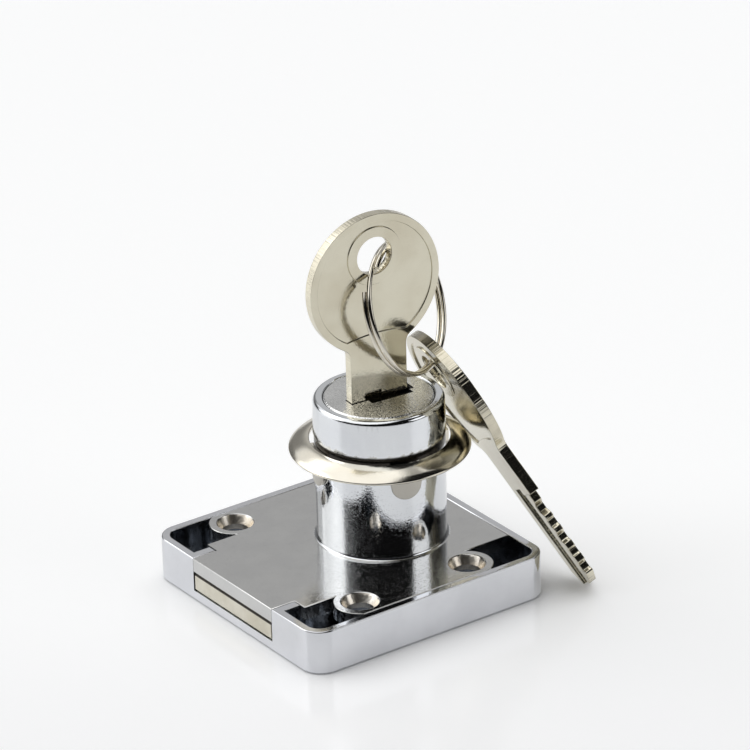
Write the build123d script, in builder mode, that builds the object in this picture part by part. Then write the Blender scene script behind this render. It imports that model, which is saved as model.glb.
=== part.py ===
from build123d import *
import os
from math import cos, pi, radians, sin

os.makedirs("parts", exist_ok=True)

# Drawer lock with a keyed plug, a sliding bolt, a trim ring and two keys on a split ring.
# Origin on the barrel's axis at the rear face of the case, +Z out of the barrel towards the key.
# The bolt leaves through the -X edge of the case. All lengths in millimetres.

# Case: a square die-cast tray, with the barrel nearer to its +X edge
case_length = 41.4
case_width = 41.0
case_height = 6.8
case_corner = 3.4
case_wall = 1.3
case_floor = 1.6
case_edge = 0.35
barrel_offset = 5.74
channel_wall = 1.6
mouth_depth = 4.0
post_radius = 3.1

# Front plate, cast in one piece with the barrel
plate_thick = 2.1
plate_gap = 0.06
band_half_width = 12.35
ear_radius = 3.85

# Screws: four through holes, countersunk at the rear and eased at the front
screw_spacing_x = 18.8
screw_inset_y = 4.8
screw_hole_radius = 2.0
screw_mouth_radius = 2.75
screw_mouth_depth = 0.9
screw_head_radius = 3.6
screw_head_depth = 1.4

# Barrel and its head
barrel_radius = 9.5
barrel_length = 22.0
base_fillet = 0.5
head_height = 5.4
head_radius = 9.65
head_step = 0.6
head_fillet = 0.7

# Plug, turning in the barrel
plug_radius = 7.38
plug_head_radius = 8.0
plug_head_height = 1.2
plug_play = 0.07
keyway_gap = 0.2
keyhole_left = 2.3
keyhole_right = 4.6
keyhole_front = 2.1
keyhole_end = 5.4
mouth_chamfer = 0.22
clip_height = 0.8
clip_play = 0.1
clip_radius = 8.9
clip_groove_radius = 7.1
clip_opening = 55.0

# Crank: the pin under the plug that shifts the bolt
turn_range = 85.0
bolt_throw = 7.6
crank_pin_radius = 1.2
crank_pin_grip = 4.0
crank_slot_gap = 0.2

# Bolt: a flat slider in the case's channel
bolt_width = 19.3
bolt_thick = 2.85
bolt_tail = 4.2
bolt_side_gap = 0.3
bolt_floor_gap = 0.06
bolt_chamfer = 0.3

# Wafers: five sprung plates that hold the plug until the key lines them up
wafer_count = 5
wafer_pitch = 2.6
wafer_thick = 1.0
wafer_width = 5.4
wafer_travel = 0.7
wafer_play = 0.08
wafer_first_drop = 2.4
wafer_lug_width = 1.3
wafer_lug_length = 1.2
wafer_slot_depth = 0.85
spring_radius = 0.55
spring_length = 2.6
spring_play = 0.06

# Key: a flat blank with a round bow
key_turn = -4.5
key_thick = 1.55
key_play = 0.1
key_standoff = 0.05
neck_left = 4.9
neck_right = 4.4
neck_length = 9.8
blade_right = 2.6
blade_length = 15.8
tip_bevel = 2.2
cut_codes = (7, 3, 5, 2, 4)
cut_step = 0.155
cut_flat = 1.0
cut_slope = 0.6
groove_left = -2.6
groove_right = 0.0
groove_depth = 0.35
groove_runout = 1.1
blade_edge_relief = 0.15
bow_radius = 10.63
bow_centre_x = -0.5
bow_centre_rise = 17.75
bow_rim = 1.15
bow_recess = 0.22
bow_fillet = 1.6
relief_rise = 0.3
relief_arch = 26.0
ring_hole_radius = 2.85
ring_hole_rise = 4.3
ring_boss_radius = 4.4

# Split ring: two turns of round wire
ring_radius = 10.17
ring_wire_radius = 0.35
ring_step = 1.12
ring_turns = 1.94
ring_arcs = 8
ring_spots = 240
ring_x = 5.08
ring_y = 0.23
ring_drop = 9.22
ring_normal_azimuth = 118.7
ring_normal_rise = -19.2
ring_start = 51.6

# Spare key: hangs on the ring by its hole and leans on the trim ring with its tip on the table
spare_x = 9.33
spare_y = -1.81
spare_drop = 20.17
spare_azimuth = 117.3
spare_rise = 50.5
spare_roll = 46.7

# Trim ring: a dished steel washer with four claws that grip the barrel
trim_inner_radius = 10.3
trim_outer_radius = 13.2
trim_top = 22.5
trim_drop = 1.4
trim_thick = 0.45
claw_count = 4
claw_turn = -13.0
claw_width = 4.6
claw_reach = 6.0
claw_gap = 0.12

# Levels up the barrel's axis and the driven sizes
plate_bottom = case_height - plate_thick
barrel_top = case_height + barrel_length
head_bottom = barrel_top - head_height
plug_shoulder = barrel_top - plug_head_height
plug_bottom = plate_bottom + 0.2
clip_bottom = plug_bottom + 0.3
bore_radius = plug_radius + plug_play
head_bore_radius = plug_head_radius + plug_play
bolt_bottom = case_floor + bolt_floor_gap
channel_half_width = bolt_width / 2 + bolt_side_gap
case_front = -barrel_offset - case_length / 2
case_back = case_front + case_length
crank_radius = bolt_throw / 2 / sin(radians(turn_range / 2))
crank_angle = 90.0 - turn_range / 2
crank_x = crank_radius * cos(radians(crank_angle))
crank_y = crank_radius * sin(radians(crank_angle))
shoulder_level = barrel_top + key_standoff
hole_level = shoulder_level + bow_centre_rise + ring_hole_rise
tip_level = shoulder_level - blade_length
wafer_levels = [plug_shoulder - wafer_first_drop + wafer_thick - i * wafer_pitch for i in range(wafer_count)]
screw_spacing_y = case_width - 2 * screw_inset_y
screw_points = [
    (x * screw_spacing_x / 2, y * screw_spacing_y / 2) for x in (-1, 1) for y in (-1, 1)
]


def direction(azimuth, rise):
    """Unit vector at an azimuth about +Z and a rise above the table, in degrees."""
    level = cos(radians(rise))
    return Vector(level * cos(radians(azimuth)), level * sin(radians(azimuth)), sin(radians(rise)))


# The case's middle, the key's cross-section seen from above, and the planes of the two keys
case_plane = Plane(origin=(-barrel_offset, 0, 0), z_dir=(0, 0, 1))
key_across = direction(key_turn, 0)
key_section = Plane(origin=(0, 0, 0), x_dir=key_across, z_dir=(0, 0, 1))
key_plane = Plane(origin=(0, 0, tip_level), x_dir=key_across, z_dir=key_across.cross(Vector(0, 0, 1)))
spare_shaft = direction(spare_azimuth, spare_rise)
spare_level = Vector(0, 0, 1).cross(spare_shaft).normalized()
spare_up = spare_shaft.cross(spare_level)
spare_across = spare_level * cos(radians(spare_roll)) + spare_up * sin(radians(spare_roll))
spare_hole = Vector(spare_x, spare_y, hole_level - spare_drop)
spare_tip = spare_hole - spare_across * bow_centre_x - spare_shaft * (hole_level - tip_level)
spare_plane = Plane(origin=spare_tip, x_dir=spare_across, z_dir=spare_across.cross(spare_shaft))


# Rear case: tray with a bolt channel, four screw posts and an open mouth for the bolt
with BuildPart() as rear_case:
    with BuildSketch(case_plane):
        RectangleRounded(case_length, case_width, case_corner)
    extrude(amount=case_height)
    with BuildSketch(case_plane.offset(case_floor)):
        RectangleRounded(case_length - 2 * case_wall, case_width - 2 * case_wall, case_corner - case_wall)
    extrude(amount=case_height, mode=Mode.SUBTRACT)
    levels = rear_case.edges().filter_by(Plane.XY).group_by(Axis.Z)
    chamfer(levels[0], case_edge)
    # channel walls and posts, up to the plate's underside
    with BuildSketch(Plane.XY.offset(case_floor)):
        for side in (-1, 1):
            with Locations((case_front + case_length / 2, side * (channel_half_width + channel_wall / 2))):
                Rectangle(case_length - case_wall, channel_wall)
        with Locations(*[(x - barrel_offset, y) for x, y in screw_points]):
            Circle(post_radius)
    extrude(amount=plate_bottom - case_floor)
    # cheeks beside the mouth, up to the rim, and the mouth itself
    with BuildSketch(Plane.XY.offset(case_floor)):
        for side in (-1, 1):
            with Locations((case_front + mouth_depth / 2, side * (channel_half_width + channel_wall / 2))):
                Rectangle(mouth_depth, channel_wall)
    extrude(amount=case_height - case_floor)
    with BuildSketch(Plane.XY.offset(case_floor)):
        with Locations((case_front, 0)):
            Rectangle(2 * mouth_depth, 2 * channel_half_width)
    extrude(amount=case_height, mode=Mode.SUBTRACT)
    with Locations(case_plane.rotated((180, 0, 0))):
        with Locations(*screw_points):
            CounterSinkHole(screw_hole_radius, screw_head_radius, 2 * case_height, 90)
rear_case.part.label = "rear_case"
export_step(rear_case.part, "parts/rear_case.step")

# Front housing: the plate with its four ears, and the barrel with its head and bores
with BuildPart() as front_housing:
    with BuildSketch(Plane.XY.offset(plate_bottom)):
        with Locations((case_front + mouth_depth + (case_length - mouth_depth) / 2, 0)):
            Rectangle(case_length - mouth_depth + plate_gap, 2 * band_half_width)
        with Locations((-barrel_offset, 0)):
            Rectangle(screw_spacing_x, case_width)
            with Locations(*screw_points):
                Circle(ear_radius)
            RectangleRounded(
                case_length - 2 * case_wall - 2 * plate_gap,
                case_width - 2 * case_wall - 2 * plate_gap,
                case_corner - case_wall,
                mode=Mode.INTERSECT,
            )
            with Locations((-case_length / 2 + mouth_depth / 2, 0)):
                Rectangle(mouth_depth + 2 * plate_gap, case_width, mode=Mode.SUBTRACT)
        with Locations((case_front + mouth_depth / 2 + plate_gap, 0)):
            Rectangle(mouth_depth + 2 * plate_gap, 2 * channel_half_width - 2 * plate_gap)
    extrude(amount=plate_thick)
    # barrel and head, turned
    with BuildSketch(Plane.XZ):
        with BuildLine():
            Polyline(
                (0, case_height - plate_thick / 2),
                (barrel_radius, case_height - plate_thick / 2),
                (barrel_radius, head_bottom - head_step),
                (head_radius, head_bottom),
                (barrel_radius, barrel_top),
                (0, barrel_top),
                close=True,
            )
        make_face()
    revolve(axis=Axis.Z)
    fillet(front_housing.edges().filter_by(GeomType.CIRCLE).group_by(Axis.Z)[-1], head_fillet)
    near = plate_thick / 10
    foot = front_housing.edges().filter_by(GeomType.CIRCLE)
    foot = foot.filter_by_position(Axis.Z, case_height - near, case_height + near)
    fillet(foot.filter_by(lambda edge: abs(edge.radius - barrel_radius) < near), base_fillet)
    # bore, seat of the plug's head, seat of the clip
    with BuildSketch(Plane.XY.offset(plate_bottom)):
        Circle(bore_radius)
    extrude(amount=plug_shoulder - plate_bottom, mode=Mode.SUBTRACT)
    with BuildSketch(Plane.XY.offset(plug_shoulder - plug_play)):
        Circle(head_bore_radius)
    extrude(amount=plug_head_height + 1, mode=Mode.SUBTRACT)
    with BuildSketch(Plane.XY.offset(plate_bottom)):
        Circle(clip_radius + 2 * clip_play)
    extrude(amount=clip_bottom + clip_height + clip_play - plate_bottom, mode=Mode.SUBTRACT)
    mouth = front_housing.edges().filter_by(GeomType.CIRCLE).group_by(Axis.Z)[-1].sort_by(SortBy.RADIUS)[0]
    chamfer(mouth, mouth_chamfer)
    # slots that the wafers drop into, with the bolt drawn back and with it thrown
    with BuildSketch(key_section.offset(plate_bottom)):
        for turn in (0, turn_range):
            with Locations(Location((0, 0), turn)):
                Rectangle(2 * (bore_radius + wafer_slot_depth), wafer_width + 4 * wafer_play)
        Circle(bore_radius + wafer_slot_depth, mode=Mode.INTERSECT)
    extrude(amount=wafer_levels[0] + wafer_thick - plate_bottom, mode=Mode.SUBTRACT)
    # screw holes, eased at the front
    with Locations(case_plane.offset(case_height)):
        with Locations(*screw_points):
            CounterSinkHole(screw_hole_radius, screw_mouth_radius, plate_thick, 60)
front_housing.part.label = "front_housing"
export_step(front_housing.part, "parts/front_housing.step")

# Plug: stepped core with the keyway, five wafer slots with spring pockets, and the clip's groove
with BuildPart() as plug:
    with BuildSketch(Plane.XY.offset(plug_bottom)):
        Circle(plug_radius)
    extrude(amount=plug_shoulder - plug_bottom)
    with BuildSketch(Plane.XY.offset(plug_shoulder)):
        Circle(plug_head_radius)
    extrude(amount=plug_head_height)
    chamfer(plug.edges().group_by(Axis.Z)[-1], mouth_chamfer)
    with BuildSketch(key_section.offset(tip_level - key_play)):
        with Locations(((blade_right - neck_left) / 2, 0)):
            Rectangle(neck_left + blade_right + 2 * key_play, key_thick + 2 * keyway_gap)
    extrude(amount=barrel_top, mode=Mode.SUBTRACT)
    # keyhole, cast wider in the head
    with BuildSketch(key_section.offset(plug_shoulder)):
        with Locations((-keyhole_left, -keyhole_front)):
            Rectangle(keyhole_left + keyhole_right, keyhole_front, align=(Align.MIN, Align.MIN))
        Rectangle(keyhole_end, key_thick + 2 * keyway_gap, align=(Align.MIN, Align.CENTER))
    extrude(amount=plug_head_height, mode=Mode.SUBTRACT)
    for level in wafer_levels:
        with BuildSketch(key_section.offset(level - wafer_thick / 2 - wafer_play)):
            Rectangle(3 * plug_radius, wafer_width + 2 * wafer_play)
            with Locations((-wafer_travel - wafer_play, wafer_width / 2)):
                Rectangle(
                    wafer_travel + wafer_lug_length + spring_length + 2 * wafer_play,
                    2 * wafer_lug_width + 2 * wafer_play,
                    align=(Align.MIN, Align.CENTER),
                )
        extrude(amount=wafer_thick + 2 * wafer_play, mode=Mode.SUBTRACT)
    with BuildSketch(Plane.XY.offset(clip_bottom)):
        Circle(plug_radius + 1)
        Circle(clip_groove_radius, mode=Mode.SUBTRACT)
    extrude(amount=clip_height + clip_play, mode=Mode.SUBTRACT)
    with BuildSketch(Plane.XY.offset(plug_bottom)):
        with Locations((crank_x, crank_y)):
            Circle(crank_pin_radius)
    extrude(amount=crank_pin_grip, mode=Mode.SUBTRACT)
plug.part.label = "plug"
export_step(plug.part, "parts/plug.step")

# Crank pin: pressed into the plug's tail, reaching down through the bolt's slot
with BuildPart() as crank_pin:
    with BuildSketch(Plane.XY.offset(bolt_bottom)):
        with Locations((crank_x, crank_y)):
            Circle(crank_pin_radius)
    extrude(amount=plug_bottom + crank_pin_grip - bolt_bottom)
    chamfer(crank_pin.edges().group_by(Axis.Z)[0], crank_pin_radius / 5)
crank_pin.part.label = "crank_pin"
export_step(crank_pin.part, "parts/crank_pin.step")

# Plug clip: open circlip in the plug's groove
with BuildPart() as plug_clip:
    with BuildSketch(Plane.XY.offset(clip_bottom + clip_play / 2)):
        Circle(clip_radius)
        Circle(clip_groove_radius + clip_play, mode=Mode.SUBTRACT)
        with BuildLine():
            gap_edge = 2 * clip_radius
            Polyline(
                (0, 0),
                (-gap_edge, gap_edge * sin(radians(clip_opening / 2))),
                (-gap_edge, -gap_edge * sin(radians(clip_opening / 2))),
                close=True,
            )
        make_face(mode=Mode.SUBTRACT)
    extrude(amount=clip_height)
plug_clip.part.label = "plug_clip"
export_step(plug_clip.part, "parts/plug_clip.step")

# Bolt: flat slider with a cross slot for the crank pin
with BuildPart() as bolt:
    bolt_back = crank_x + crank_pin_radius + crank_slot_gap + bolt_tail
    with BuildSketch(Plane.XY.offset(bolt_bottom)):
        with Locations((case_front, 0)):
            Rectangle(bolt_back - case_front, bolt_width, align=(Align.MIN, Align.CENTER))
    extrude(amount=bolt_thick)
    chamfer(bolt.edges().filter_by(Axis.Y).group_by(Axis.X)[0], bolt_chamfer)
    chamfer(bolt.edges().filter_by(Axis.Z).group_by(Axis.X)[-1], 2 * bolt_chamfer)
    slot_width = 2 * (crank_pin_radius + crank_slot_gap)
    with BuildSketch(Plane.XY.offset(bolt_bottom)):
        with Locations(Location((crank_x, (crank_y + crank_radius) / 2), 90)):
            SlotCenterToCenter(crank_radius - crank_y + 2 * crank_slot_gap, slot_width)
    extrude(amount=bolt_thick, mode=Mode.SUBTRACT)
bolt.part.label = "bolt"
export_step(bolt.part, "parts/bolt.step")

# Wafers: each a plate across the plug with a window for the blade and a lug for its spring
lug_reach = wafer_width / 2 + wafer_lug_width - wafer_play
for i, level in enumerate(wafer_levels):
    with BuildPart() as wafer:
        with BuildSketch(key_section.offset(level - wafer_thick / 2)):
            Circle(plug_radius - wafer_play)
            Rectangle(3 * plug_radius, wafer_width, mode=Mode.INTERSECT)
            with Locations((0, wafer_width / 2)):
                Rectangle(wafer_lug_length, lug_reach - wafer_width / 2, align=(Align.MIN, Align.MIN))
            with Locations((-neck_left - key_play, 0)):
                Rectangle(
                    neck_left + blade_right + wafer_travel + 2 * key_play,
                    key_thick + 4 * key_play,
                    align=(Align.MIN, Align.CENTER),
                    mode=Mode.SUBTRACT,
                )
        extrude(amount=wafer_thick)
    wafer.part.label = f"wafer_{i + 1}"
    export_step(wafer.part, f"parts/wafer_{i + 1}.step")

    spring_plane = Plane(
        origin=key_section.offset(level).from_local_coords(
            (wafer_lug_length + spring_play, (wafer_width / 2 + lug_reach) / 2, 0)
        ),
        x_dir=(0, 0, 1),
        z_dir=key_across,
    )
    with BuildPart() as wafer_spring:
        with BuildSketch(spring_plane):
            Circle(spring_radius)
        extrude(amount=spring_length - 2 * spring_play)
    wafer_spring.part.label = f"wafer_spring_{i + 1}"
    export_step(wafer_spring.part, f"parts/wafer_spring_{i + 1}.step")


def bitted_edge():
    """Points up the cut edge of the blade, from the tip to the shoulder."""
    points = []
    for level, code in zip(reversed(wafer_levels), reversed(cut_codes)):
        depth = code * cut_step
        rise = level - tip_level
        run = cut_flat / 2 + depth * cut_slope
        points += [
            (blade_right, rise - run),
            (blade_right - depth, rise - cut_flat / 2),
            (blade_right - depth, rise + cut_flat / 2),
            (blade_right, rise + run),
        ]
    return points


def key_blank(plane):
    """A cut key on a plane whose origin is the blade's tip and whose Y runs up to the bow."""
    bow_level = blade_length + bow_centre_rise
    neck_top = blade_length + neck_length
    with BuildPart() as key:
        with BuildSketch(plane.offset(-key_thick / 2)) as outline:
            with BuildLine():
                Polyline(
                    (-neck_left + tip_bevel, 0),
                    (blade_right - tip_bevel, 0),
                    (blade_right, tip_bevel * 0.7),
                    *bitted_edge(),
                    (blade_right, blade_length),
                    (neck_right, blade_length),
                    (neck_right, neck_top),
                    (-neck_left, neck_top),
                    (-neck_left, tip_bevel),
                    close=True,
                )
            make_face()
            with Locations((bow_centre_x, bow_level)):
                Circle(bow_radius)
            corners = outline.vertices().filter_by_position(Axis.Y, blade_length + 1, bow_level - bow_radius / 2)
            fillet(corners, bow_fillet)
            with Locations((bow_centre_x, bow_level + ring_hole_rise)):
                Circle(ring_hole_radius, mode=Mode.SUBTRACT)
        extrude(amount=key_thick)
        for side in (-1, 1):
            face_plane = plane.offset(side * (key_thick / 2 - bow_recess))
            with BuildSketch(face_plane):
                with Locations((bow_centre_x, bow_level)):
                    Circle(bow_radius - bow_rim)
                with Locations((bow_centre_x, bow_level + ring_hole_rise)):
                    Circle(ring_boss_radius, mode=Mode.SUBTRACT)
                with Locations(((neck_right - neck_left) / 2, neck_top + relief_rise - relief_arch)):
                    Circle(relief_arch, mode=Mode.SUBTRACT)
            extrude(amount=side * bow_recess, mode=Mode.SUBTRACT)
            with BuildSketch(plane.offset(side * (key_thick / 2 - blade_edge_relief))):
                with Locations((groove_right, 0)):
                    Rectangle(neck_right, blade_length, align=(Align.MIN, Align.MIN))
            extrude(amount=side * blade_edge_relief, mode=Mode.SUBTRACT)
            with BuildSketch(plane.offset(side * (key_thick / 2 - groove_depth))):
                with Locations((groove_left, 0)):
                    Rectangle(
                        groove_right - groove_left,
                        blade_length + groove_runout,
                        align=(Align.MIN, Align.MIN),
                    )
            extrude(amount=side * groove_depth, mode=Mode.SUBTRACT)
    return key.part


key_inserted = key_blank(key_plane)
key_inserted.label = "key_inserted"
export_step(key_inserted, "parts/key_inserted.step")

key_spare = key_blank(spare_plane)
key_spare.label = "key_spare"
export_step(key_spare, "parts/key_spare.step")

# Split ring: one wire that goes round twice and shifts sideways by a little more than itself
ring_axis = direction(ring_normal_azimuth, ring_normal_rise)
ring_level = Vector(0, 0, 1).cross(ring_axis).normalized()
ring_up = ring_axis.cross(ring_level)
ring_centre = Vector(ring_x, ring_y, hole_level - ring_drop)


def ring_point(turns):
    """Point on the wire's middle line after a number of turns."""
    about = radians(ring_start) + 2 * pi * turns
    spoke = ring_level * cos(about) + ring_up * sin(about)
    return ring_centre + spoke * ring_radius + ring_axis * (ring_step * (turns - ring_turns / 2))


def ring_way(turns):
    """Direction in which the wire runs after a number of turns."""
    about = radians(ring_start) + 2 * pi * turns
    along = ring_up * cos(about) - ring_level * sin(about)
    return (along * (2 * pi * ring_radius) + ring_axis * ring_step).normalized()


def biarc(start, start_way, end, end_way):
    """Two arcs that meet smoothly and keep the directions given at their outer ends."""
    chord = end - start
    advance = chord.dot(start_way + end_way)
    bend = 2 * (1 - start_way.dot(end_way))
    reach = ((advance**2 + bend * chord.dot(chord)) ** 0.5 - advance) / bend
    middle = (start + end + (start_way - end_way) * reach) / 2
    TangentArc(start, middle, tangent=start_way)
    TangentArc(middle, end, tangent=chord - (start_way + end_way) * reach)


with BuildPart() as split_ring:
    with BuildLine() as wire:
        for i in range(ring_arcs):
            turned = ring_turns * i / ring_arcs
            turned_next = ring_turns * (i + 1) / ring_arcs
            biarc(ring_point(turned), ring_way(turned), ring_point(turned_next), ring_way(turned_next))
    with BuildSketch(Plane(origin=wire.line @ 0, z_dir=wire.line % 0)):
        Circle(ring_wire_radius)
    sweep(path=wire.line)
split_ring.part.label = "split_ring"
export_step(split_ring.part, "parts/split_ring.step")

spots = [ring_point(ring_turns * i / ring_spots) for i in range(ring_spots + 1)]
apart = int(ring_spots / ring_turns / 2)
gaps = [(spots[i] - spots[j]).length for i in range(ring_spots + 1) for j in range(i + apart, ring_spots + 1)]
print("split ring: least gap to itself", round(min(gaps) - 2 * ring_wire_radius, 2), "mm")

# Trim ring: dished washer with claws folded down against the barrel
with BuildPart() as trim_ring:
    with BuildSketch(Plane.XZ):
        with BuildLine():
            Polyline(
                (trim_inner_radius - trim_thick, trim_top - 2 * trim_thick),
                (trim_inner_radius, trim_top),
                (trim_outer_radius - trim_thick, trim_top - trim_drop + trim_thick),
                (trim_outer_radius, trim_top - trim_drop),
                (trim_outer_radius, trim_top - trim_drop - trim_thick),
                (trim_inner_radius, trim_top - 2 * trim_thick),
                close=True,
            )
        make_face()
    revolve(axis=Axis.Z)
    claw_radius = barrel_radius + claw_gap
    for i in range(claw_count):
        azimuth = claw_turn + i * 360 / claw_count
        outward = direction(azimuth, 0)
        claw_plane = Plane(origin=outward * claw_radius, x_dir=Vector(0, 0, 1).cross(outward), z_dir=outward)
        with BuildSketch(claw_plane):
            claw_bottom = trim_top - claw_reach
            with Locations((0, trim_top - trim_thick)):
                Rectangle(claw_width, claw_reach - claw_width / 2 - trim_thick, align=(Align.CENTER, Align.MAX))
            with Locations((0, claw_bottom + claw_width / 2)):
                Circle(claw_width / 2)
        extrude(amount=trim_thick)
trim_ring.part.label = "trim_ring"
export_step(trim_ring.part, "parts/trim_ring.step")
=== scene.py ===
from math import cos, pi, radians, sin, tau

import bmesh
import bpy
from mathutils import Matrix, Vector


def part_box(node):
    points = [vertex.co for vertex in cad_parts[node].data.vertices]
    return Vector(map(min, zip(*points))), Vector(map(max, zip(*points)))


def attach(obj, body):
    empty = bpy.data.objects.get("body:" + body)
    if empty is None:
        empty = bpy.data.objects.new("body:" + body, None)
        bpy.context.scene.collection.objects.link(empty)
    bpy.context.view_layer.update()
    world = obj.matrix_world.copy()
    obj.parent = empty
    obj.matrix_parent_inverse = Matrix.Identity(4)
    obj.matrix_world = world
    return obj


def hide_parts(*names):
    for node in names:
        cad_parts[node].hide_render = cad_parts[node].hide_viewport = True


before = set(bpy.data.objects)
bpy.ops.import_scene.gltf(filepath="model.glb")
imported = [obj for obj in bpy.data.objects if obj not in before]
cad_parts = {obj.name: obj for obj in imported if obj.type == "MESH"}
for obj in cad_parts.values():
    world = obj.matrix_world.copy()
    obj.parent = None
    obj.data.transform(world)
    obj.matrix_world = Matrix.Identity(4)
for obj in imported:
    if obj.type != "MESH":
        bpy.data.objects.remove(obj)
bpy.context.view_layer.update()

# Rear case. The real one is a die-cast zinc tray, polished and chromed, with a thin rim round it
# and four corner pockets left open. Every edge of the casting is a little rounded by the polishing.
MM = 0.001
# lengths from here on are in mm, and grains are counted per mm
NEAR, WELD = 0.1, 0.002
FLAT, CREASE = radians(0.6), radians(32)
RIM_EASE, FOOT_EASE, OUTLINE_INSET = 0.22, 0.25, 1.5
POCKET_LOW, POCKET_HIGH, POCKET_INSET = 1.2, 6.5, 2.5
# the last is the roughness added where shade is painted
CLOUD_GRAIN, SWELL_GRAIN, SHADED_ROUGHNESS = 0.16, 0.45, 0.2


def casting(node):
    """A free copy of a CAD node's mesh, welded, with its flat faces in one piece again."""
    copy = bmesh.new()
    copy.from_mesh(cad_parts[node].data)
    bmesh.ops.remove_doubles(copy, verts=copy.verts, dist=WELD * MM)
    bmesh.ops.dissolve_limit(copy, angle_limit=FLAT, verts=copy.verts, edges=copy.edges)
    return copy


def ease(form, width, where, segments=3, least_turn=30):
    """Rounds the edges that turn by more than some degrees and whose middle, in mm, passes the test."""
    picked = []
    for edge in form.edges:
        if len(edge.link_faces) == 2 and edge.calc_face_angle(0) > radians(least_turn):
            middle = (edge.verts[0].co + edge.verts[1].co) / 2 / MM
            if where(middle):
                picked.append(edge)
    bmesh.ops.bevel(
        form,
        geom=picked,
        offset=width * MM,
        segments=segments,
        profile=0.5,
        affect="EDGES",
        clamp_overlap=False,
    )


def fitted(name, body, form, finish, node):
    """Makes a piece of a form, smooth over its curves and flat on its flats, in place of a CAD node."""
    mesh = bpy.data.meshes.new(name)
    form.to_mesh(mesh)
    form.free()
    mesh.polygons.foreach_set("use_smooth", [True] * len(mesh.polygons))
    mesh.set_sharp_from_angle(angle=CREASE)
    mesh.materials.append(finish)
    made = bpy.data.objects.new(name, mesh)
    bpy.context.scene.collection.objects.link(made)
    even = made.modifiers.new("even", "WEIGHTED_NORMAL")
    even.keep_sharp = True
    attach(made, body)
    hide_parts(node)
    return made


class Shade:
    """A socket in a node tree, with arithmetic, and one method that adds any other node."""

    def __init__(self, tree, socket=None):
        self.tree = tree
        self.socket = socket

    def node(self, kind, settings=None, inputs=None, output=0):
        """Adds a node, sets it up, then fills or links its inputs."""
        made = self.tree.nodes.new("ShaderNode" + kind)
        for key, value in (settings or {}).items():
            setattr(made, key, value)
        for key, value in (inputs or {}).items():
            if isinstance(value, Shade):
                self.tree.links.new(value.socket, made.inputs[key])
            else:
                made.inputs[key].default_value = value
        return Shade(self.tree, made.outputs[output])

    def maths(self, operation, left, right):
        return self.node("Math", {"operation": operation}, {0: left, 1: right})

    def __add__(self, other):
        return self.maths("ADD", self, other)

    def __radd__(self, other):
        return self.maths("ADD", other, self)

    def __sub__(self, other):
        return self.maths("SUBTRACT", self, other)

    def __rsub__(self, other):
        return self.maths("SUBTRACT", other, self)

    def __mul__(self, other):
        return self.maths("MULTIPLY", self, other)

    def __rmul__(self, other):
        return self.maths("MULTIPLY", other, self)

    def step(self, start, end):
        """0 below start, 1 above end, smooth between."""
        settings = {"interpolation_type": "SMOOTHSTEP"}
        return self.node("MapRange", settings, {"Value": self, "From Min": start, "From Max": end})

    def blend(self, low, high):
        """A colour from low to high as this value goes from 0 to 1."""
        return self.node("Mix", {"data_type": "RGBA"}, {0: self, 6: low, 7: high}, output=2)


def metal(
    name, colour, tarnish, roughness, grain, relief,
    spread=0.06, wave=0.0, pits=0.0, across=None, painted_shade=None,
):
    """Plated metal: tint that drifts a little, roughness that clouds, and a fine cast or tumbled grain.

    The grain is in grains per mm, its relief in mm, and it runs straight along the across direction.
    Its last argument paints shade: a mask, and the darker colour that shows where the mask is 1, rougher
    there.
    """
    finish = bpy.data.materials.new(name)
    finish.use_nodes = True
    tree = finish.node_tree
    shader = tree.nodes["Principled BSDF"]
    start = Shade(tree)
    place = start.node("TexCoord", output="Object")
    flat = place
    if across is not None:
        along = start.node("VectorMath", {"operation": "PROJECT"}, {0: place, 1: across})
        flat = start.node("VectorMath", {"operation": "SUBTRACT"}, {0: place, 1: along})
    grains = {"Vector": flat, "Scale": grain / MM, "Detail": 1.0, "Roughness": 0.6}
    fine = start.node("TexNoise", None, grains)
    drift = {"Vector": place, "Scale": CLOUD_GRAIN / MM, "Detail": 4.0, "Roughness": 0.55}
    clouds = start.node("TexNoise", None, drift)
    specks = fine.step(0.56, 0.72)
    tint = clouds.step(0.3, 0.75).blend((*colour, 1), (*tarnish, 1))
    rough = roughness + (clouds - 0.5) * spread + specks * (spread * 0.5)
    # painted shade: a darker colour and more roughness where the mask is 1
    if painted_shade:
        mask, shade = painted_shade
        shaded = mask(place)
        tint = shaded.blend(tint, (*shade, 1))
        rough = rough + shaded * SHADED_ROUGHNESS
    tree.links.new(tint.socket, shader.inputs["Base Color"])
    tree.links.new(rough.socket, shader.inputs["Roughness"])
    shader.inputs["Metallic"].default_value = 1.0
    height = fine
    if wave:
        swell = start.node("TexNoise", None, {"Vector": place, "Scale": SWELL_GRAIN / MM, "Detail": 1.0})
        height = fine + swell * wave
    if pits:
        height = height - fine.step(0.60, 0.66) * pits
    bump = start.node("Bump", None, {"Strength": 1.0, "Distance": relief * MM, "Height": height})
    tree.links.new(bump.socket, shader.inputs["Normal"])
    return finish


chrome = metal("case chrome", (0.76, 0.77, 0.80), (0.70, 0.71, 0.74), 0.09, 2.6, 0.006, wave=1.5)
# a darker, rougher copy of the chrome, for shade painted in the pockets
shaded_chrome = metal("shaded chrome", (0.52, 0.54, 0.57), (0.36, 0.38, 0.41), 0.14, 1.2, 0.02)

case_low, case_high = (Vector(corner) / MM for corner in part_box("rear_case"))
case_middle = (case_low + case_high) / 2


def inset(at):
    """How far a point of the case, in mm, lies inside its outline."""
    return min(at.x - case_low.x, case_high.x - at.x, at.y - case_low.y, case_high.y - at.y)


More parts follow.
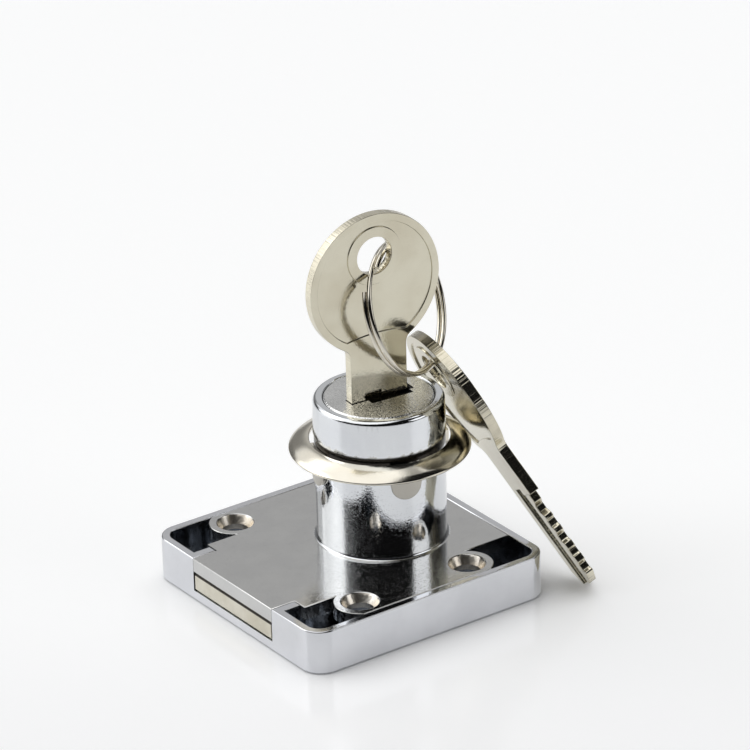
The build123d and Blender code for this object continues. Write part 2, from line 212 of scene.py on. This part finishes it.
case = casting("rear_case")
ease(case, RIM_EASE, lambda at: at.z > case_high.z - NEAR)
ease(case, FOOT_EASE, lambda at: at.z < case_low.z + NEAR and inset(at) < OUTLINE_INSET)
# Inward faces and the pockets' insides take the darker chrome: painted shade.
for face in case.faces:
    middle = face.calc_center_median() / MM
    turned_in = face.normal.xy.dot(middle.xy - case_middle.xy) < 0
    if POCKET_LOW < middle.z < POCKET_HIGH and (inset(middle) > POCKET_INSET or turned_in):
        face.material_index = 1
tray = fitted("rear_case_polished", "case", case, chrome, "rear_case")
tray.data.materials.append(shaded_chrome)

# Front housing. One zinc casting, plated with the case: a satin plate with eased edges that sinks
# between the case's walls, and a barrel polished to a mirror that grows out of it with a small fillet.
PLATE_TOP, PLATE_EASE = 6.8, 0.12
BARREL_RADIUS, BARREL_FILLET = 9.5, 0.5
RECESS_LOW, RECESS_HIGH = (21.2, 21.8), (23.0, 23.4)
SCREW_X, SCREW_Y, SCREW_REACH = (-15.14, 3.66), (-15.7, 15.7), 2.7
plate_satin = metal(
    "plate satin", (0.64, 0.64, 0.63), (0.60, 0.60, 0.595), 0.10, 3.6, 0.012,
    spread=0.02, pits=0.6,
)


def past(place, axis, low, high):
    """0 where a place is under low along an axis, 1 where it is over high, both in mm."""
    along = place.node("SeparateXYZ", None, {0: place}, output=axis)
    return along.step(low * MM, high * MM)


def under_head(place):
    """1 in the recess below the barrel's head, where shade is painted dark."""
    return past(place, "Z", *RECESS_LOW) * (1 - past(place, "Z", *RECESS_HIGH))


barrel_mirror = metal(
    "barrel mirror", (0.84, 0.86, 0.88), (0.79, 0.81, 0.84), 0.03, 3.6, 0.010,
    spread=0.02, pits=0.28, painted_shade=(under_head, (0.05, 0.045, 0.04)),
)
zinc_bare = metal("bare zinc", (0.98, 0.95, 0.89), (0.82, 0.74, 0.62), 0.28, 1.6, 0.04, spread=0.1)

screw_spots = [Vector((x, y)) for x in SCREW_X for y in SCREW_Y]
foot = BARREL_RADIUS + BARREL_FILLET + NEAR
housing = casting("front_housing")
ease(housing, PLATE_EASE, lambda at: abs(at.z - PLATE_TOP) < NEAR and at.xy.length > foot + NEAR)
for face in housing.faces:
    middle = face.calc_center_median() / MM
    upright = abs(face.normal.z) < 0.95
    if middle.z > PLATE_TOP + NEAR / 2 and middle.xy.length < foot:
        face.material_index = 1
    elif upright and min((middle.xy - spot).length for spot in screw_spots) < SCREW_REACH:
        face.material_index = 2
plated = fitted("front_housing_plated", "case", housing, plate_satin, "front_housing")
plated.data.materials.append(barrel_mirror)
plated.data.materials.append(zinc_bare)

# Plug. A turned zinc core with the keyway cast in; its face keeps the grain of the casting.
# A steel crank pin is pressed into its tail, and a steel circlip holds it in the barrel.
KEYWAY_SHADE = (28.3, 28.6)


def below_face(place):
    """1 inside the keyway, where shade is painted dark."""
    return 1 - past(place, "Z", *KEYWAY_SHADE)


plug_chrome = metal(
    "plug chrome", (0.84, 0.84, 0.83), (0.70, 0.70, 0.69), 0.26, 3.0, 0.09,
    spread=0.08, painted_shade=(below_face, (0.03, 0.028, 0.025)),
)
spring_steel = metal("spring steel", (0.42, 0.42, 0.43), (0.36, 0.35, 0.35), 0.32, 5.0, 0.004)
pin_steel = metal("pin steel", (0.56, 0.56, 0.57), (0.50, 0.49, 0.48), 0.26, 5.0, 0.003)

fitted("plug_core", "core", casting("plug"), plug_chrome, "plug")
fitted("crank_pin_ground", "core", casting("crank_pin"), pin_steel, "crank_pin")
fitted("plug_circlip", "core", casting("plug_clip"), spring_steel, "plug_clip")

# Bolt. A flat zinc slider with a matte nickel plate, in the channel under the front plate. It is eased
# at the nose, where it leads into the keeper, and shade is painted dark along the nose's top edge.
BOLT_EASE, BOLT_CHAMFER = 0.12, 0.3
bolt_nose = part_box("bolt")[0][0] / MM
bolt_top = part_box("bolt")[1][2] / MM


def nose_edge(place):
    """1 along the top edge of the bolt's nose, where shade is painted dark."""
    near_top = past(place, "Z", bolt_top - 0.4, bolt_top - 0.3)
    return near_top * (1 - past(place, "X", bolt_nose + 0.2, bolt_nose + 0.3))


bolt_nickel = metal(
    "bolt nickel", (0.78, 0.75, 0.65), (0.66, 0.62, 0.51), 0.36, 2.6, 0.10,
    spread=0.12, painted_shade=(nose_edge, (0.06, 0.055, 0.05)),
)

slider = casting("bolt")
ease(slider, BOLT_EASE, lambda at: at.x < bolt_nose + BOLT_CHAMFER + NEAR)
fitted("bolt_slider", "bolt", slider, bolt_nickel, "bolt")

# Wafers. Brass plates stamped from strip, one in each slot of the plug, each on a body of its own.
# A small steel coil spring sits behind the lug of each.
wafer_brass = metal("wafer brass", (0.78, 0.60, 0.27), (0.66, 0.49, 0.21), 0.25, 4.0, 0.004)

for i in range(1, 6):
    fitted(f"wafer_{i}_stamped", f"wafer_{i}", casting(f"wafer_{i}"), wafer_brass, f"wafer_{i}")
    fitted(f"wafer_{i}_coil", "core", casting(f"wafer_spring_{i}"), spring_steel, f"wafer_spring_{i}")

# Trim ring. Pressed steel with a bright nickel plate: a dished washer with a rounded outer edge, and
# four claws folded down that grip the barrel.
TRIM_INNER, TRIM_OUTER = 10.3, 13.2
TRIM_TOP, TRIM_DROP, TRIM_THICK = 22.5, 1.4, 0.45
TRIM_LEDGE, TRIM_CURVE = 0.06, 1.35
INNER_EDGE = ((-0.12, -0.5), (-0.1, -0.12), (-0.02, -0.05))
CLAW_WIDTH, CLAW_REACH, CLAW_GAP, CLAW_TURN = 4.6, 6.0, 0.12, -13.0
CLAW_ROOT, CLAW_FREE, CLAW_SKIN, CLAW_EASE = 0.4, 2.2, 0.3, 0.12
CLAW_SHADE = (20.3, 20.6)
TURN_STEPS, CROWN_STEPS, LIP_STEPS, CLAW_STEPS = 180, 10, 8, 24


def claw_tips(place):
    """1 on the claws below the ring, where shade is painted darker."""
    return 1 - past(place, "Z", *CLAW_SHADE)


trim_nickel = metal(
    "trim nickel", (0.86, 0.82, 0.72), (0.80, 0.75, 0.64), 0.14, 3.0, 0.006,
    painted_shade=(claw_tips, (0.58, 0.555, 0.50)),
)


def turned(r, angle, z):
    """The point at a radius and height in mm, turned about the barrel's axis."""
    return r * cos(angle) * MM, r * sin(angle) * MM, z * MM


def lathe(profile):
    """A form turned about the barrel's axis from a closed profile of (radius, height) points in mm."""
    form = bmesh.new()
    rings = []
    for k in range(TURN_STEPS):
        about = tau * k / TURN_STEPS
        rings.append([form.verts.new(turned(r, about, z)) for r, z in profile])
    for k in range(TURN_STEPS):
        here, there = rings[k], rings[(k + 1) % TURN_STEPS]
        for i in range(len(profile)):
            j = (i + 1) % len(profile)
            form.faces.new((here[i], there[i], there[j], here[j]))
    return form


def arc(centre, radius, start, end, steps):
    """Points in mm along an arc, angles in degrees."""
    turns = [radians(start + (end - start) * k / steps) for k in range(steps + 1)]
    return [(centre[0] + radius * cos(turn), centre[1] + radius * sin(turn)) for turn in turns]


lip = TRIM_THICK / 2
crown = []
for k in range(1, CROWN_STEPS):
    r = TRIM_INNER + (TRIM_OUTER - lip - TRIM_INNER) * k / CROWN_STEPS
    z = TRIM_TOP - TRIM_LEDGE - (TRIM_DROP - lip) * (k / CROWN_STEPS) ** TRIM_CURVE
    crown.append((r, z))
profile = [(TRIM_INNER + r, TRIM_TOP + z) for r, z in INNER_EDGE] + crown
profile += arc((TRIM_OUTER - lip, TRIM_TOP - TRIM_DROP - lip), lip, 60, -110, LIP_STEPS)
profile += [(r, z - TRIM_THICK) for r, z in reversed(crown)]
trim = lathe(profile[::-1])

claw_inner = BARREL_RADIUS + CLAW_GAP
claw_half = CLAW_WIDTH / 2
root = TRIM_TOP - CLAW_ROOT
for k in range(4):
    middle_turn = radians(CLAW_TURN) + k * pi / 2
    columns = []
    for i in range(CLAW_STEPS + 1):
        across = claw_half * (2 * i / CLAW_STEPS - 1)
        tip = TRIM_TOP - CLAW_REACH + claw_half - (claw_half**2 - across**2) ** 0.5
        turn = middle_turn + across / claw_inner
        column = []
        for out, z in ((0, tip), (TRIM_THICK, tip), (TRIM_THICK, root), (0, root)):
            column.append(trim.verts.new(turned(out + claw_inner, turn, z)))
        columns.append(column)
    for here, there in zip(columns, columns[1:]):
        for i in range(4):
            trim.faces.new((here[i], there[i], there[i - 3], here[i - 3]))
    trim.faces.new(columns[0])
    trim.faces.new(columns[-1][::-1])
bmesh.ops.recalc_face_normals(trim, faces=trim.faces)
ease(
    trim,
    CLAW_EASE,
    lambda at: at.z < TRIM_TOP - CLAW_FREE and at.xy.length > claw_inner + CLAW_SKIN,
    segments=2,
    least_turn=50,
)
fitted("trim_ring_pressed", "case", trim, trim_nickel, "trim_ring")

# Keys. Two blanks stamped from steel strip, tumbled and nickel plated, which leaves a soft beige
# sheen. The sheared edges keep fine marks that run through the thickness.
KEY_EASE, EDGE_SLANT = 0.10, 0.2
key_nickel = metal("key nickel", (0.71, 0.675, 0.55), (0.63, 0.585, 0.46), 0.13, 3.0, 0.008)

# each key's name, its body and the way one of its flat sides looks
for name, body, side in (
    ("key_inserted", "key", (-0.0785, -0.9969, 0.0)),
    ("key_spare", "spare", (-0.8893, 0.1361, -0.4366)),
):
    through = Vector(side)
    blank = casting(name)
    ease(blank, KEY_EASE, lambda at: True, segments=2, least_turn=50)
    for face in blank.faces:
        if abs(face.normal.dot(through)) < EDGE_SLANT:
            face.material_index = 1
    sheared = metal(
        name + " edge", (0.86, 0.81, 0.66), (0.60, 0.56, 0.45), 0.18, 2.8, 0.10,
        spread=0.1, across=through,
    )
    stamped = fitted(name + "_stamped", body, blank, key_nickel, name)
    stamped.data.materials.append(sheared)

# Split ring. Spring wire wound nearly twice round and plated, with both ends cut square. It hangs
# through the holes of both bows.
RING_RADIUS, RING_WIRE, RING_STEP, RING_TURNS = 9.62, 0.37, 0.78, 1.94
RING_STEPS, WIRE_SIDES = 360, 20
RING_CENTRE = Vector((4.91, -0.34, 41.2))
RING_AZIMUTH, RING_RISE, RING_START = radians(117.8), radians(-18.6), radians(57.6)
ring_nickel = metal("ring nickel", (0.80, 0.76, 0.67), (0.68, 0.64, 0.55), 0.10, 2.0, 0.002)

axle = Vector((cos(RING_RISE) * cos(RING_AZIMUTH), cos(RING_RISE) * sin(RING_AZIMUTH), sin(RING_RISE)))
sideways = Vector((0, 0, 1)).cross(axle).normalized()
upward = axle.cross(sideways)
coil = bmesh.new()
hoops = []
for k in range(RING_STEPS + 1):
    turn = RING_TURNS * k / RING_STEPS
    angle = tau * turn + RING_START
    spoke = sideways * cos(angle) + upward * sin(angle)
    middle = RING_CENTRE + spoke * RING_RADIUS + axle * RING_STEP * (turn - RING_TURNS / 2)
    hoop = []
    for i in range(WIRE_SIDES):
        rim = spoke * cos(tau * i / WIRE_SIDES) + axle * sin(tau * i / WIRE_SIDES)
        hoop.append(coil.verts.new((middle + rim * RING_WIRE) * MM))
    hoops.append(hoop)
for here, there in zip(hoops, hoops[1:]):
    for i in range(WIRE_SIDES):
        coil.faces.new((here[i], there[i], there[i - 1], here[i - 1]))
coil.faces.new(hoops[0])
coil.faces.new(hoops[-1][::-1])
bmesh.ops.recalc_face_normals(coil, faces=coil.faces)
fitted("split_ring_wound", "ring", coil, ring_nickel, "split_ring")

# Table and studio. A glossy white board that runs out of sight, under a white ceiling with dark
# room beyond it, which is what the chrome shows as black.
TABLE_SIZE, TABLE_DROP = 6000, 0.02
SHADOW_REACH, GLOSS_SHARE = 12, 0.6
ACROSS_TABLE = (0.574, 0.819, 0)
bpy.ops.mesh.primitive_plane_add(size=TABLE_SIZE * MM, location=(0, 0, -TABLE_DROP * MM))
table = bpy.context.object
table.name = "table"
board = bpy.data.materials.new("table board")
board.use_nodes = True
tree = board.node_tree
gloss = tree.nodes["Principled BSDF"]
gloss.inputs["Base Color"].default_value = (0.88, 0.885, 0.89, 1)
gloss.inputs["Roughness"].default_value = 0.16
gloss.inputs["IOR"].default_value = 1.4
gloss.inputs["Emission Strength"].default_value = 1.0
start = Shade(tree)
place = start.node("TexCoord", output="Object")
across = {0: place, 1: ACROSS_TABLE}
away = start.node("VectorMath", {"operation": "DOT_PRODUCT"}, across, output="Value")
# painted light: the glow is a little brighter the further across the table it lies
glow = away.step(-70 * MM, 30 * MM).blend((0.305, 0.305, 0.31, 1), (0.37, 0.372, 0.372, 1))
# painted shadow: near things the camera's glow fades with their ambient occlusion
reach = {"Distance": SHADOW_REACH * MM}
open_sky = start.node("AmbientOcclusion", {"samples": 8}, reach, output="AO")
to_camera = start.node("LightPath", output="Is Camera Ray") * open_sky.step(0.15, 0.95)
to_gloss = start.node("LightPath", output="Is Glossy Ray") * GLOSS_SHARE
shown = (to_camera + to_gloss).blend((0, 0, 0, 1), glow)
tree.links.new(shown.socket, gloss.inputs["Emission Color"])
table.data.materials.append(board)

world = bpy.data.worlds.new("studio")
bpy.context.scene.world = world
world.use_nodes = True
tree = world.node_tree
start = Shade(tree)
way = start.node("TexCoord", output="Generated")


def facing(azimuth, rise, low, high):
    """How far a ray turns towards a light at an azimuth and rise in degrees, from 0 to 1."""
    azimuth, rise = radians(azimuth), radians(rise)
    light = Vector((cos(rise) * cos(azimuth), cos(rise) * sin(azimuth), sin(rise))).normalized()
    along = start.node("VectorMath", {"operation": "DOT_PRODUCT"}, {0: way, 1: light}, output="Value")
    return along.step(low, high)


ceiling = facing(150, 66, 0.73, 0.85)
right_high = facing(8, 50, 0.965, 0.987)
right_gap = facing(11, 67, 0.975, 0.995)
left_high = facing(96, 38, 0.94, 0.985)
left_box = facing(135, 25, 0.86, 0.93)
right_box = facing(308, 25, 0.95, 0.975)
far_wall = facing(50, 25, 0.90, 0.97)
far_dim = facing(55, 25, 0.55, 0.95)
dim_room = 0.005
room = dim_room + ceiling * 1.15 + right_high * 1.1 + right_gap * 0.3 + left_high * 0.7
room = room + left_box * 1.25 + right_box * 1.2 + far_wall * 0.3 + far_dim * 0.22
camera_ray = start.node("LightPath", output="Is Camera Ray")
strength = start.node("Math", {"operation": "MAXIMUM"}, {0: camera_ray, 1: room * (1 - camera_ray)})
tint = camera_ray.blend((1, 1, 1, 1), (0.947, 0.95, 0.952, 1))
background = tree.nodes["Background"]
tree.links.new(tint.socket, background.inputs["Color"])
tree.links.new(strength.socket, background.inputs["Strength"])

# Camera. It stands about three quarters of a metre away, at the photograph's viewpoint, and its long
# lens gives the photograph's framing and perspective.
CAMERA_SPOT = Vector((-376.01, -535.69, 340.84)) * MM
camera_data = bpy.data.cameras.new("camera")
camera_data.lens = 242.8
camera_data.sensor_width = 36
camera_data.clip_end = 20
camera = bpy.data.objects.new("camera", camera_data)
right = Vector((0.8120, -0.5832, -0.0243))
up = Vector((0.2669, 0.3341, 0.9041))
back = Vector((-0.5191, -0.7405, 0.4269))
camera.matrix_world = Matrix.Translation(CAMERA_SPOT) @ Matrix((right, up, back)).transposed().to_4x4()
bpy.context.scene.collection.objects.link(camera)
bpy.context.scene.camera = camera
bpy.context.scene.view_settings.view_transform = "Standard"
